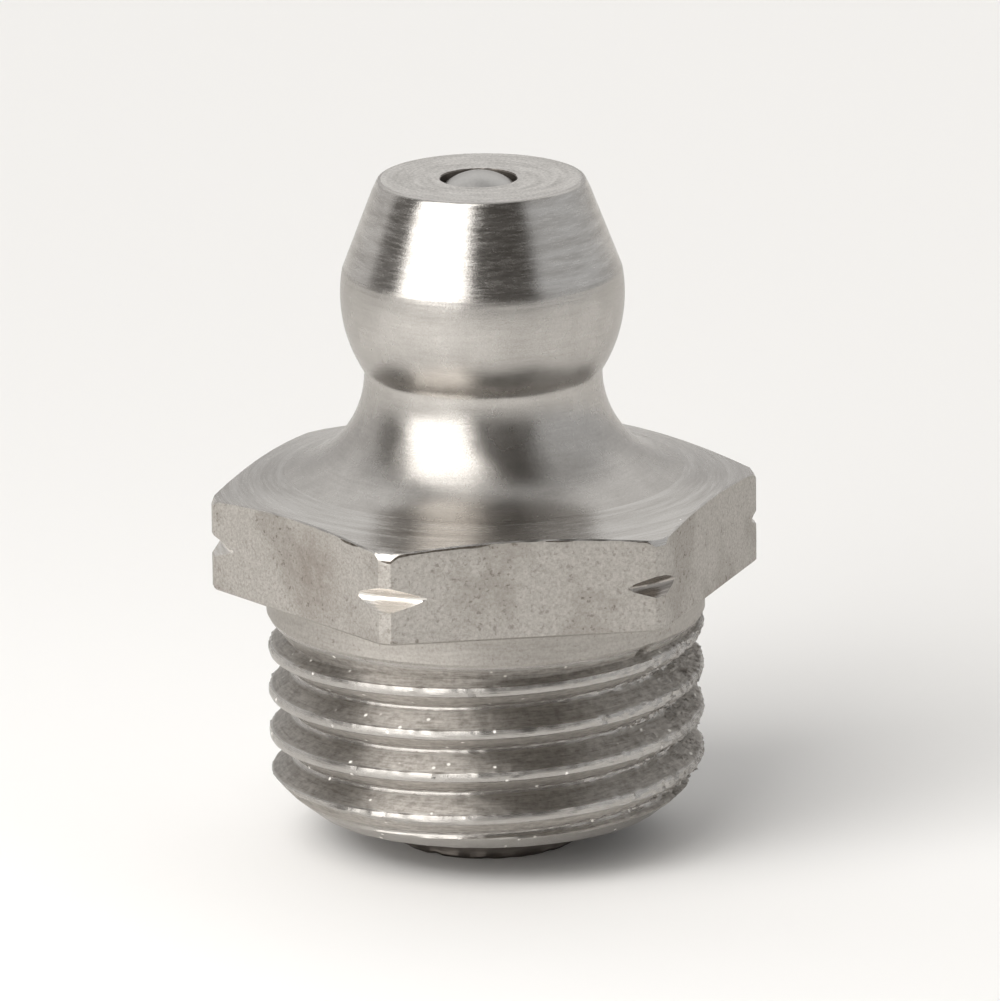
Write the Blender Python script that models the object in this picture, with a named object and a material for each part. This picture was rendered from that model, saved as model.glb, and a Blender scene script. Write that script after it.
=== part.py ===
"""Straight hydraulic grease nipple, M10x1, 11 mm across flats, with its ball check valve.

One turned and threaded hexagon-bar body, one ball and one tapered compression spring.
The origin is at the centre of the lower rim, +Z runs up the axis to the coupling head, and two
of the spanner flats face -Y and +Y.
"""

import math

import bmesh
import bpy

MM = 0.001

# Overall sizes of the body, in millimetres from the lower rim
BODY_HEIGHT = 15.5
ACROSS_FLATS = 11.0
HEX_BLANK_RADIUS = 6.3
HEAD_RADIUS = 3.235
HEAD_CENTRE_Z = 12.82
HEAD_CONE_Z = 13.4
TIP_RADIUS = 2.4
TIP_EDGE_RADIUS = 0.06

# Neck and the conical top of the hexagon
NECK_RADIUS = 2.71
NECK_FILLET_RADIUS = 2.38
NECK_FILLET_Z = 11.0
HEX_TOP_SLOPE = math.radians(13.0)
CORNER_BEVEL_RADIUS = 6.08
CORNER_BEVEL_Z = 8.17

# Hexagon, its corner groove, and the plain collar under it
SEAT_Z = 6.18
SEAT_CHAMFER = 0.08
NOTCH_Z = 7.25
NOTCH_DEPTH = 0.24
NOTCH_HALF_HEIGHT = 0.23
COLLAR_RADIUS = 5.02
COLLAR_BOTTOM_Z = 5.46

# M10x1 thread, whose groove stops on a run-out cone under the collar
THREAD_RADIUS = 4.97
THREAD_TOP_Z = 5.40
THREAD_PITCH = 1.0
THREAD_ROOT_RADIUS = 4.30
THREAD_ROOT_WIDTH = 0.07
THREAD_FLANK_ANGLE = math.radians(30.0)
THREAD_END_Z = 0.88
THREAD_END_RADIUS = 4.08
THREAD_CHAMFER_Z = 1.7
RUN_OUT_TOP_Z = 5.38
RUN_OUT_SLOPE = 0.82
RUN_OUT_INNER_RADIUS = 4.0
RUN_OUT_FLARE_RADIUS = 5.16
GROOVE_START_Z = 0.3
GROOVE_START_ANGLE = math.radians(258.9)
GROOVE_END_Z = 5.95
GROOVE_MOUTH_RADIUS = 5.06

# Spigot with its rolled-in lip, which holds the spring
SPIGOT_RADIUS = 2.13
LIP_EDGE_RADIUS = 0.1
LIP_HOLE_RADIUS = 0.95
LIP_HOLE_FLARE = 0.25
LIP_HOLE_FLARE_Z = 0.2
LIP_THICKNESS = 0.42

# Bore, ball seat and grease inlet
CHAMBER_RADIUS = 1.45
INLET_RADIUS = 0.87
SEAT_CONE_HALF_ANGLE = math.radians(59.0)

# Ball and spring
BALL_RADIUS = 1.19
BALL_CENTRE_Z = 14.47
WIRE_RADIUS = 0.15
SPRING_TOP_RADIUS = 0.85
SPRING_BOTTOM_RADIUS = 1.22
SPRING_ACTIVE_TURNS = 11.0
SPRING_CLOSED_TURNS = 1.25
FIT_GAP = 0.03

# Facets
TURN_STEPS = 48
HEAD_STEPS = 8
FILLET_STEPS = 8
LIP_STEPS = 4
WIRE_SIDES = 6
SPRING_STEPS_PER_TURN = 16
BALL_SEGMENTS = 24
BALL_RINGS = 14


def clear_scene():
    for old in list(bpy.data.objects):
        bpy.data.objects.remove(old, do_unlink=True)


def metal(name, colour, roughness):
    """A bare metal with the given base colour."""
    material = bpy.data.materials.new(name)
    material.use_nodes = True
    shader = material.node_tree.nodes["Principled BSDF"]
    shader.inputs["Base Color"].default_value = (*colour, 1.0)
    shader.inputs["Roughness"].default_value = roughness
    shader.inputs["Metallic"].default_value = 1.0
    material.diffuse_color = (*colour, 1.0)
    return material


def arc(centre, radius, start, end, steps):
    """Points (r, z) on an arc, with its angles measured from +r towards +z."""
    points = []
    for i in range(steps + 1):
        angle = start + (end - start) * i / steps
        points.append((centre[0] + radius * math.cos(angle), centre[1] + radius * math.sin(angle)))
    return points


def add_object(name, mesh, material=None):
    """Links a new object and shades its round faces smooth."""
    mesh.shade_smooth()
    mesh.set_sharp_from_angle(angle=math.radians(28.0))
    made = bpy.data.objects.new(name, mesh)
    bpy.context.scene.collection.objects.link(made)
    if material:
        made.data.materials.append(material)
    return made


def mesh_from(bm, name):
    bmesh.ops.recalc_face_normals(bm, faces=bm.faces)
    mesh = bpy.data.meshes.new(name)
    bm.to_mesh(mesh)
    bm.free()
    return mesh


def turned(name, outline, steps):
    """Spins a closed outline of (r, z) points in millimetres about Z."""
    bm = bmesh.new()
    corners = [bm.verts.new((r * MM, 0.0, z * MM)) for r, z in outline]
    edges = [bm.edges.new((a, b)) for a, b in zip(corners, corners[1:] + corners[:1])]
    bmesh.ops.spin(bm, geom=corners + edges, axis=(0, 0, 1), cent=(0, 0, 0),
                   angle=2 * math.pi, steps=steps, use_merge=True)
    return mesh_from(bm, name)


def swept(name, sections):
    """Joins matching rings of (x, y, z) points in millimetres into a tube with capped ends."""
    bm = bmesh.new()
    rings = [[bm.verts.new((x * MM, y * MM, z * MM)) for x, y, z in ring] for ring in sections]
    for near, far in zip(rings, rings[1:]):
        for i in range(len(near)):
            j = (i + 1) % len(near)
            bm.faces.new((near[i], near[j], far[j], far[i]))
    bm.faces.new(rings[0])
    bm.faces.new(reversed(rings[-1]))
    return mesh_from(bm, name)


def subtract(target, cutter, name):
    """Cuts one object from another with a Boolean and hides the cutter."""
    cutter.hide_render = True
    cutter.display_type = "WIRE"
    cut = target.modifiers.new(name, "BOOLEAN")
    cut.operation = "DIFFERENCE"
    cut.solver = "EXACT"
    cut.object = cutter


def head_outline():
    """Tip, cone, spherical head, and the neck fillet down to the hexagon's conical top."""
    edge = arc((TIP_RADIUS - TIP_EDGE_RADIUS, BODY_HEIGHT - TIP_EDGE_RADIUS), TIP_EDGE_RADIUS,
               math.pi / 2, math.radians(20.0), 2)
    top_angle = math.asin((HEAD_CONE_Z - HEAD_CENTRE_Z) / HEAD_RADIUS)
    neck_angle = -math.acos(NECK_RADIUS / HEAD_RADIUS)
    head = arc((0.0, HEAD_CENTRE_Z), HEAD_RADIUS, top_angle, neck_angle, HEAD_STEPS)
    fillet = arc((NECK_RADIUS + NECK_FILLET_RADIUS, NECK_FILLET_Z), NECK_FILLET_RADIUS,
                 math.pi, 1.5 * math.pi - HEX_TOP_SLOPE, FILLET_STEPS)
    fillet_r, fillet_z = fillet[-1]
    bevel_z = fillet_z - (CORNER_BEVEL_RADIUS - fillet_r) * math.tan(HEX_TOP_SLOPE)
    rim = [(CORNER_BEVEL_RADIUS, bevel_z), (HEX_BLANK_RADIUS, CORNER_BEVEL_Z)]
    return edge + head + fillet + rim


def hexagon_outline():
    """Side of the hexagon's blank, with the V groove that notches its corners."""
    return [
        (HEX_BLANK_RADIUS, NOTCH_Z + NOTCH_HALF_HEIGHT),
        (HEX_BLANK_RADIUS - NOTCH_DEPTH, NOTCH_Z),
        (HEX_BLANK_RADIUS, NOTCH_Z - NOTCH_HALF_HEIGHT),
        (HEX_BLANK_RADIUS, SEAT_Z + SEAT_CHAMFER),
        (HEX_BLANK_RADIUS - SEAT_CHAMFER, SEAT_Z),
    ]


def shank_outline():
    """Collar, thread blank with its end chamfer, and the spigot with the rounded edge of its lip."""
    bend_centre = (SPIGOT_RADIUS - LIP_EDGE_RADIUS, LIP_EDGE_RADIUS)
    bend = arc(bend_centre, LIP_EDGE_RADIUS, 0.0, -math.pi / 2, LIP_STEPS)
    return [
        (COLLAR_RADIUS, SEAT_Z),
        (COLLAR_RADIUS, COLLAR_BOTTOM_Z),
        (THREAD_RADIUS, THREAD_TOP_Z),
        (THREAD_RADIUS, THREAD_CHAMFER_Z),
        (THREAD_END_RADIUS, THREAD_END_Z),
        (SPIGOT_RADIUS, THREAD_END_Z),
    ] + bend


def bore_outline():
    """Lip hole, spring chamber, conical ball seat and the inlet at the tip, from the bottom up."""
    contact_z = BALL_CENTRE_Z + math.sqrt(BALL_RADIUS ** 2 - INLET_RADIUS ** 2) + FIT_GAP
    shoulder_z = contact_z - (CHAMBER_RADIUS - INLET_RADIUS) / math.tan(SEAT_CONE_HALF_ANGLE)
    return [
        (LIP_HOLE_RADIUS + LIP_HOLE_FLARE, 0.0),
        (LIP_HOLE_RADIUS, LIP_HOLE_FLARE_Z),
        (LIP_HOLE_RADIUS, LIP_THICKNESS),
        (CHAMBER_RADIUS, LIP_THICKNESS),
        (CHAMBER_RADIUS, shoulder_z),
        (INLET_RADIUS, contact_z),
        (INLET_RADIUS, BODY_HEIGHT),
    ]


def hexagon_cutter():
    """A ring with a hexagonal hole, which leaves the six flats."""
    corner = ACROSS_FLATS / math.sqrt(3.0)
    outer = 2.0 * HEX_BLANK_RADIUS
    low = COLLAR_BOTTOM_Z
    high = NECK_FILLET_Z
    outline = [(corner, low), (outer, low), (outer, high), (corner, high)]
    return add_object("hexagon_cutter", turned("hexagon_cutter", outline, 6))


def groove_section(angle, centre_z):
    """Trapezoid of the thread's groove at one angle."""
    root_half = THREAD_ROOT_WIDTH / 2
    depth = GROOVE_MOUTH_RADIUS - THREAD_ROOT_RADIUS
    mouth_half = root_half + depth * math.tan(THREAD_FLANK_ANGLE)
    root = THREAD_ROOT_RADIUS
    mouth = GROOVE_MOUTH_RADIUS
    corners = [(root, -root_half), (mouth, -mouth_half), (mouth, mouth_half), (root, root_half)]
    return [(r * math.cos(angle), r * math.sin(angle), centre_z + z) for r, z in corners]


def run_out_guard():
    """Cone and collar zone that the groove doesn't cut into."""
    inner = RUN_OUT_INNER_RADIUS / 2
    outer = RUN_OUT_FLARE_RADIUS + THREAD_PITCH
    low = RUN_OUT_TOP_Z - (THREAD_RADIUS - RUN_OUT_INNER_RADIUS) / RUN_OUT_SLOPE
    rim = RUN_OUT_TOP_Z + (RUN_OUT_FLARE_RADIUS - THREAD_RADIUS) / RUN_OUT_SLOPE
    high = RUN_OUT_TOP_Z + 2 * THREAD_PITCH
    outline = [
        (inner, low),
        (RUN_OUT_INNER_RADIUS, low),
        (RUN_OUT_FLARE_RADIUS, rim),
        (outer, rim),
        (outer, high),
        (inner, high),
    ]
    return add_object("run_out_guard", turned("run_out_guard", outline, TURN_STEPS))


def groove_cutter():
    """Right-hand helical groove, trimmed so that it ends on the run-out cone."""
    turns = (GROOVE_END_Z - GROOVE_START_Z) / THREAD_PITCH
    sections = []
    for i in range(round(turns * TURN_STEPS) + 1):
        angle = GROOVE_START_ANGLE + 2 * math.pi * i / TURN_STEPS
        sections.append(groove_section(angle, GROOVE_START_Z + THREAD_PITCH * i / TURN_STEPS))
    groove = add_object("groove_cutter", swept("groove_cutter", sections))
    subtract(groove, run_out_guard(), "run_out")
    return groove


def make_body(material):
    outline = head_outline() + hexagon_outline() + shank_outline() + bore_outline()
    body = add_object("nipple_body", turned("nipple_body", outline, TURN_STEPS), material)
    subtract(body, hexagon_cutter(), "flats")
    subtract(body, groove_cutter(), "thread")
    return body


def make_ball(material):
    bm = bmesh.new()
    bmesh.ops.create_uvsphere(bm, u_segments=BALL_SEGMENTS, v_segments=BALL_RINGS,
                              radius=BALL_RADIUS * MM)
    ball = add_object("check_ball", mesh_from(bm, "check_ball"), material)
    ball.location = (0.0, 0.0, BALL_CENTRE_Z * MM)
    return ball


def spring_ends():
    """Heights of the wire's centre in the bottom coil and in the coil that carries the ball."""
    bottom = LIP_THICKNESS + WIRE_RADIUS + FIT_GAP
    reach = BALL_RADIUS + WIRE_RADIUS + FIT_GAP
    top = BALL_CENTRE_Z - math.sqrt(reach ** 2 - SPRING_TOP_RADIUS ** 2)
    return bottom, top


def make_spring(material):
    """Tapered compression spring with closed end coils."""
    bottom, top = spring_ends()
    closed_pitch = 2 * WIRE_RADIUS + FIT_GAP
    closed_height = closed_pitch * SPRING_CLOSED_TURNS
    turns = SPRING_ACTIVE_TURNS + 2 * SPRING_CLOSED_TURNS
    open_pitch = (top - bottom - 2 * closed_height) / SPRING_ACTIVE_TURNS
    steps = round(turns * SPRING_STEPS_PER_TURN)
    sections = []
    for i in range(steps + 1):
        turn = turns * i / steps
        opened = min(max(turn - SPRING_CLOSED_TURNS, 0.0), SPRING_ACTIVE_TURNS)
        centre_z = bottom + closed_pitch * (turn - opened) + open_pitch * opened
        taper = opened / SPRING_ACTIVE_TURNS
        coil = SPRING_BOTTOM_RADIUS + (SPRING_TOP_RADIUS - SPRING_BOTTOM_RADIUS) * taper
        angle = 2 * math.pi * turn
        ring = arc((coil, centre_z), WIRE_RADIUS, 0.0, 2 * math.pi, WIRE_SIDES)[:-1]
        sections.append([(r * math.cos(angle), r * math.sin(angle), z) for r, z in ring])
    return add_object("check_spring", swept("check_spring", sections), material)


def main():
    clear_scene()
    make_body(metal("turned_stainless", (0.60, 0.58, 0.55), 0.30))
    make_ball(metal("polished_ball_steel", (0.66, 0.65, 0.63), 0.15))
    make_spring(metal("spring_wire", (0.50, 0.49, 0.47), 0.28))


main()
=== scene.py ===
"""Looks of a straight stainless grease nipple: turned and threaded body, check ball and spring.

The body is one closed skin of columns of points round the axis, so that the hexagon, its corner
notches and the helical thread all have their true edges. Lengths are in millimetres until the
meshes are made, and angles round the axis start at +X.
"""

import math

import bmesh
import bpy
import numpy as np
from mathutils import Matrix, Vector


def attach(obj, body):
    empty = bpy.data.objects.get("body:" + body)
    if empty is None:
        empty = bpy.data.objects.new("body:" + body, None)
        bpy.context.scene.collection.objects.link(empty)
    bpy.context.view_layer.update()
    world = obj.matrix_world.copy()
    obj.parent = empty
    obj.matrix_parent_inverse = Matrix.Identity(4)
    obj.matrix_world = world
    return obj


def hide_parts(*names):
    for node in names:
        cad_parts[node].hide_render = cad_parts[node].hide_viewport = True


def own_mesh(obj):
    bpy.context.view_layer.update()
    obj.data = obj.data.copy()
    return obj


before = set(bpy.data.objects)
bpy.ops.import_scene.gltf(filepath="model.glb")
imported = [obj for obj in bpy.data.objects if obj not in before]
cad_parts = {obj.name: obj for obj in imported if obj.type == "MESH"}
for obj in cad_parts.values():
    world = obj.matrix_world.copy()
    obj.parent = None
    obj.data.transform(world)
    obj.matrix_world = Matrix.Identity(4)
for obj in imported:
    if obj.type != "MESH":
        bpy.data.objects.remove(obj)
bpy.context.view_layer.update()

MM = 0.001

# Camera and its place round the part. Its lens is in millimetres too
VIEW_AZIMUTH = math.radians(-8.94)
VIEW_ELEVATION = math.radians(15.49)
VIEW_ROLL = math.radians(0.583)
VIEW_DISTANCE = 279.6
VIEW_AIM_Z = 7.912
VIEW_SIDE_STEP = 0.351
VIEW_LENS = 440.9

# Tip and the grease inlet, which was drilled a little off centre and chipped at the back, where its
# edge is painted with shade
TIP_Z = 15.5
TIP_EDGE_RADIUS = 2.39
TIP_EDGE = 0.11
FACED_INNER_EDGE = 0.10
INLET_RADIUS = 0.87
INLET_OFFSET = 0.06
INLET_EDGE = 0.02
INLET_CHIPS = 0.03
INLET_CHIPS_IN_FRONT = 0.3
INLET_SHADE_FROM = 0.3

# Head, neck and the conical top of the hexagon
CONE_TOP_Z = 15.45
CONE_TOP_RADIUS = 2.395
CONE_BOTTOM_Z = 13.405
CONE_RIPPLE = 0.0016
CONE_RIPPLE_HEIGHT = 0.2
HEAD_RADIUS = 3.235
HEAD_CENTRE_Z = 12.82
NECK_RADIUS = 2.71
FILLET_RADIUS = 2.38
FILLET_Z = 11.0
HEX_SLOPE = math.radians(13.0)

# Hexagon, with its edge break, the burr that hangs from it and its lower edge
ACROSS_FLATS = 11.0
HEX_SECTOR = math.radians(60.0)
CORNER_CHAMFER = 6.265
BEVEL_RADIUS = 6.19
BEVEL_WIDTH = 0.09
BEVEL_SLOPE = 1.6
EDGE_BREAK = 0.035
EDGE_DROP = 0.025
EDGE_RIPPLE = 0.010
BURR_DEPTH = 0.045
BURR_LEAST = 0.01
BURR_LEAN = 0.3
BURR_ROUNDING = 0.004
BURR_FREE_ANGLE = math.radians(-29.0)
BURR_ONSET = 2.9
BURR_FADE = 3.0
HEX_LOWER_EDGE = 0.05
SEAT_Z = 6.18

# Notches that a turned groove cuts in the corners
NOTCH_Z = 7.225
NOTCH_RADIUS = 6.07
NOTCH_SLOPE = 1.8
NOTCH_ROUNDING = 0.13
NOTCH_LEAST_DEPTH = 0.006
NOTCH_OFF_CENTRE = 0.13
NOTCH_OFF_ANGLE = math.radians(59.0)

# Collar, thread and the end of the shank
COLLAR_RADIUS = 5.02
COLLAR_FILLET = 0.05
COLLAR_ROUGHNESS = 0.006
THREAD_TOP_Z = 5.38
THREAD_RADIUS = 4.97
THREAD_ROOT_RADIUS = 4.43
THREAD_ROOT_ROUNDING = 0.10
THREAD_UPPER_EDGE = 0.055
THREAD_LOWER_EDGE = 0.03
THREAD_CREST_HALF = 0.10
THREAD_PITCH = 1.0
THREAD_FLANK = math.tan(math.radians(30.0))
THREAD_LEVEL_Z = 5.056
THREAD_LEVEL_ANGLE = math.radians(171.06)
THREAD_END_Z = 0.88
THREAD_END_RADIUS = 4.08
THREAD_END_EDGE = 0.05
THREAD_CHAMFER_Z = 1.7
THREAD_CHAMFER_BULGE = 0.05
THREAD_CHAMFER_RIPPLE = 0.015
RUN_OUT_SLOPE = 0.82
RUN_OUT_OVER_CREST = 0.03
SPIGOT_RADIUS = 2.13
SPIGOT_RIPPLE = 0.010
SPIGOT_FILLET = 0.1
LIP_EDGE = 0.08
LIP_WAVES = 0.05
LIP_FACE_RADIUS = 1.7
LIP_HOLE_RADIUS = 0.95
LIP_HOLE_BEVEL = 0.25
LIP_THICKNESS = 0.42

# Roughness of the thread. The torn amounts count only where the threading tool tore the steel
TORN_ANGLE = math.radians(-15.0)
TORN_NARROWNESS = 9
FLANK_RIPPLE = 0.006
FLANK_TORN_RIPPLE = 0.04
FLANK_TORN_LUMPS = 0.20
CREST_STANDS_OUT = 0.015
CREST_RIPPLE = 0.008
CREST_TORN_RIPPLE = 0.02
CREST_CHIPS = 0.05
CREST_TORN_CHIPS = 0.05
CREST_TORN_BITES = 0.15
BEAD_HEIGHT = 0.03
BEAD_WIDTH = 0.03

# The one deep tear under the collar
TEAR_ANGLE = math.radians(-52.0)
TEAR_Z = 5.26
TEAR_RADIUS = 0.14
TEAR_HEIGHT_SHARE = 0.7
TEAR_CLIMB = 0.25
TEAR_DEPTH = 0.40
TEAR_SHARE_IN_COLLAR = 0.5

# Bore, ball and spring
CHAMBER_RADIUS = 1.45
CHAMBER_Z = 1.0
SEAT_HALF_ANGLE = math.radians(59.0)
BALL_RADIUS = 1.185
BALL_CENTRE_Z = 14.47
BALL_OFFSET = 0.045
WIRE_RADIUS = 0.15
SPRING_TOP_RADIUS = 0.85
SPRING_BOTTOM_RADIUS = 1.22
SPRING_ACTIVE_TURNS = 11.0
SPRING_CLOSED_TURNS = 1.25
SPRING_STEPS_PER_TURN = 28
FIT_GAP = 0.03

# How finely the skins are made, and the angle from which an edge stays sharp
SHARP_ANGLE = math.radians(24.0)
HALF_SECTOR_COLUMNS = 31
CHAMFER_COLUMNS = 2
WIRE_SIDES = 12
BALL_CUTS = 23

# Dirt smudge on the front of the hexagon
SMUDGE_POINT = (-4.46, -3.27, 7.4)
SMUDGE_CORE = 0.2
SMUDGE_RADIUS = 1.5

# Colours of the darker and the lighter grain of each surface
TURNED_GRAIN = ((0.425, 0.405, 0.38, 1.0), (0.585, 0.565, 0.54, 1.0))
SATIN_GRAIN = ((0.38, 0.362, 0.338, 1.0), (0.555, 0.532, 0.505, 1.0))
FACED_GRAIN = ((0.45, 0.432, 0.41, 1.0), (0.79, 0.766, 0.737, 1.0))
DRAWN_GRAIN = ((0.385, 0.362, 0.332, 1.0), (0.55, 0.524, 0.492, 1.0))
# The burr's grain is nearly black: painted shadow under the burr along the top of the flats
BURR_SHADOW_GRAIN = ((0.06, 0.05, 0.04, 1.0), (0.22, 0.195, 0.17, 1.0))
NOTCH_GRAIN = ((0.58, 0.55, 0.51, 1.0), (0.80, 0.77, 0.73, 1.0))
NOTCH_DARKER_GRAIN = ((0.20, 0.18, 0.16, 1.0), (0.46, 0.43, 0.40, 1.0))
COLLAR_GRAIN = ((0.36, 0.336, 0.308, 1.0), (0.49, 0.466, 0.433, 1.0))
CREST_GRAIN = ((0.43, 0.41, 0.385, 1.0), (0.51, 0.49, 0.465, 1.0))
# The flanks' grain is darker than the crests': partly dirt, partly painted shade in the groove
FLANK_DIRT_AND_SHADE_GRAIN = ((0.29, 0.268, 0.242, 1.0), (0.53, 0.50, 0.465, 1.0))
# The bore's grain is dark: painted shade inside the bore and the inlet, on the thread's end face
# and on the spigot
BORE_SHADE_GRAIN = ((0.10, 0.088, 0.078, 1.0), (0.20, 0.18, 0.16, 1.0))
BALL_GRAIN = ((0.46, 0.447, 0.43, 1.0), (0.54, 0.527, 0.51, 1.0))
WIRE_GRAIN = ((0.42, 0.41, 0.39, 1.0), (0.56, 0.55, 0.53, 1.0))

# Colours of the metal seen edge-on, of white dots painted as glints, and of dirt
EDGE_ON_TINT = (0.86, 0.85, 0.84, 1.0)
PAINTED_GLINT_COLOUR = (0.88, 0.85, 0.80, 1.0)
STAIN_COLOUR = (0.28, 0.255, 0.225, 1.0)
SMUDGE_COLOUR = (0.28, 0.243, 0.21, 1.0)
FLAT_PIT_COLOUR = (0.17, 0.145, 0.12, 1.0)
COLLAR_PIT_COLOUR = (0.16, 0.135, 0.11, 1.0)
RESIDUE_COLOUR = (0.12, 0.10, 0.085, 1.0)

# Light of the surroundings, more than 1 where they shine
LEFT_LIGHT = (0.72, 0.71, 0.70, 1.0)
RIGHT_LIGHT = (0.66, 0.67, 0.68, 1.0)
BACK_LIGHT = (0.70, 0.695, 0.69, 1.0)
CEILING_LIGHT = (0.56, 0.56, 0.56, 1.0)
WALL_LIGHT = (0.98, 0.98, 0.975, 1.0)
RIGHT_GAP_LIGHT = (0.10, 0.094, 0.087, 1.0)
LEFT_GAP_LIGHT = (0.19, 0.182, 0.174, 1.0)
SOFTBOX_LIGHT = (3.3, 3.25, 3.18, 1.0)
SPILL_LIGHT = (2.0, 1.97, 1.92, 1.0)

# Table, and the lamp over it in front of the softbox
FLOOR_RADIUS = 3000
FLOOR_SIDES = 96
FLOOR_COLOUR = (0.88, 0.87, 0.855, 1.0)
POOL_AZIMUTH = VIEW_AZIMUTH + math.radians(-43.5)
POOL_DISTANCE = 50
POOL_HEIGHT = 40
POOL_SIZE = 30
POOL_WATTS = 0.015

# Steps between the order keys of two rows, and before the thread, whose rows lie close together
ROW_STEP = 1000
THREAD_STEP = 1000000

# Bands of the skin, which are also the body's material slots
TURNED, SATIN, FACED, FLAT, BURR, NOTCH, COLLAR, THREAD, BORE = range(9)


# ---------------------------------------------------------------- irregularity

def waver(angle, height, seed, turns, pitch, terms=36):
    """Smooth irregular ripple from about -1 to 1 over (angle, height), which closes round the axis.

    turns is the most waves round the axis and pitch the shortest wave along it, in millimetres.
    """
    random = np.random.default_rng(seed)
    total = np.zeros(np.broadcast(angle, height).shape)
    for _ in range(terms):
        waves = random.integers(0, turns + 1)
        along_axis = random.uniform(-1.0, 1.0) * 2 * math.pi / pitch
        start = random.uniform(0, 2 * math.pi)
        total = total + np.cos(waves * angle + along_axis * height + start)
    return total / math.sqrt(2.0 * terms)


def spots(angle, height, seed, turns, pitch, share):
    """Separate bumps from 0 to 1: the peaks of a ripple, over about that share of the surface."""
    ripple = waver(angle, height, seed, turns, pitch)
    level = np.quantile(ripple, 1.0 - share)
    return np.clip((ripple - level) / max(ripple.max() - level, 1e-6), 0.0, 1.0)


# ---------------------------------------------------------------- the body's outline

def columns():
    """Angles round the axis, a little closer together at the hexagon's chamfered corners."""
    flat_to_corner = HEX_SECTOR / 2
    ratio = ACROSS_FLATS / 2 / CORNER_CHAMFER
    chamfer_edge = math.atan((ratio - math.cos(flat_to_corner)) / math.sin(flat_to_corner))
    share = CHAMFER_COLUMNS / HALF_SECTOR_COLUMNS
    crowding = math.log(chamfer_edge / flat_to_corner) / math.log(share)
    half = flat_to_corner * np.linspace(0.0, 1.0, HALF_SECTOR_COLUMNS + 1) ** crowding
    sector = np.concatenate([half, HEX_SECTOR - half[1:-1][::-1]])
    return np.concatenate([sector + HEX_SECTOR * k for k in range(6)])


def hexagon_radius(angle):
    """Distance from the axis to the hexagon's side, with its chamfered corners."""
    from_flat = np.abs((angle % HEX_SECTOR) - HEX_SECTOR / 2)
    side = ACROSS_FLATS / 2 / np.cos(from_flat)
    return np.minimum(side, CORNER_CHAMFER / np.cos(HEX_SECTOR / 2 - from_flat))


def fillet_point(angle):
    """Point of the neck's fillet as (r, z), at an angle round the fillet's centre."""
    r = NECK_RADIUS + FILLET_RADIUS * (1.0 + math.cos(angle))
    return r, FILLET_Z + FILLET_RADIUS * math.sin(angle)


def fillet_end():
    """Where the neck's fillet meets the hexagon's conical top, as (r, z)."""
    return fillet_point(1.5 * math.pi - HEX_SLOPE)


def hexagon_top(radius):
    """Height of the hexagon's conical top, which falls faster past the corner bevel."""
    start_r, start_z = fillet_end()
    cone = start_z - (np.minimum(radius, BEVEL_RADIUS) - start_r) * math.tan(HEX_SLOPE)
    return cone - np.maximum(radius - BEVEL_RADIUS, 0.0) * BEVEL_SLOPE


def notch_bottom(angle):
    """Radius of the corner notch's bottom, which was cut a little off centre."""
    return NOTCH_RADIUS + NOTCH_OFF_CENTRE * np.cos(angle - NOTCH_OFF_ANGLE)


def groove_distance(angle, height):
    """Height above the middle of the nearest turn of the thread's groove."""
    middle = THREAD_LEVEL_Z + THREAD_PITCH * (angle - THREAD_LEVEL_ANGLE) / (2 * math.pi)
    return (height - middle + THREAD_PITCH / 2) % THREAD_PITCH - THREAD_PITCH / 2


def torn_share(angle):
    """1 where the threading tool tore the steel most, 0 opposite."""
    return (0.5 + 0.5 * np.cos(angle - TORN_ANGLE)) ** TORN_NARROWNESS


def tear(angle, height):
    """The one deep tear under the collar, from 0 to about 1, with ragged edges."""
    turn = (angle - TEAR_ANGLE + math.pi) % (2 * math.pi) - math.pi
    across = turn * THREAD_RADIUS
    up = height - TEAR_Z - TEAR_CLIMB * across
    shape = np.exp(-(across / TEAR_RADIUS) ** 2 - (up / (TEAR_HEIGHT_SHARE * TEAR_RADIUS)) ** 2)
    ragged = 1.0 + 0.5 * waver(angle, height, seed=19, turns=120, pitch=0.1)
    return shape * np.clip(ragged, 0.0, 2.0)


def thread_wall(angle, height, above, torn):
    """Radius of the groove's root and flanks, which rise above the crest where the groove ends."""
    opened = np.hypot(above, THREAD_ROOT_ROUNDING) - THREAD_ROOT_ROUNDING
    wall = THREAD_ROOT_RADIUS + opened / THREAD_FLANK
    ripple = waver(angle, height, seed=14, turns=90, pitch=0.18)
    wall = wall + (FLANK_RIPPLE + FLANK_TORN_RIPPLE * torn) * ripple
    lumps = spots(angle, height, seed=16, turns=110, pitch=0.13, share=0.45)
    wall = wall + FLANK_TORN_LUMPS * torn * lumps
    run_out = THREAD_RADIUS + RUN_OUT_OVER_CREST - RUN_OUT_SLOPE * (THREAD_TOP_Z - height)
    return np.maximum(wall, run_out)


def thread_crest(angle, height, torn):
    """Radius of the crest, rippled and chipped, and bitten off where the steel was torn."""
    ripple = waver(angle, height, seed=11, turns=40, pitch=0.5)
    crest = THREAD_RADIUS + CREST_STANDS_OUT + CREST_RIPPLE * ripple
    chips = spots(angle, height, seed=12, turns=70, pitch=0.35, share=0.10)
    crest = crest - (CREST_CHIPS + CREST_TORN_CHIPS * torn) * chips
    bites = spots(angle, height, seed=17, turns=110, pitch=0.12, share=0.40)
    crest = crest - CREST_TORN_BITES * torn * bites
    fine_ripple = waver(angle, height, seed=18, turns=120, pitch=0.11)
    return crest + CREST_TORN_RIPPLE * torn * fine_ripple


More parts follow.
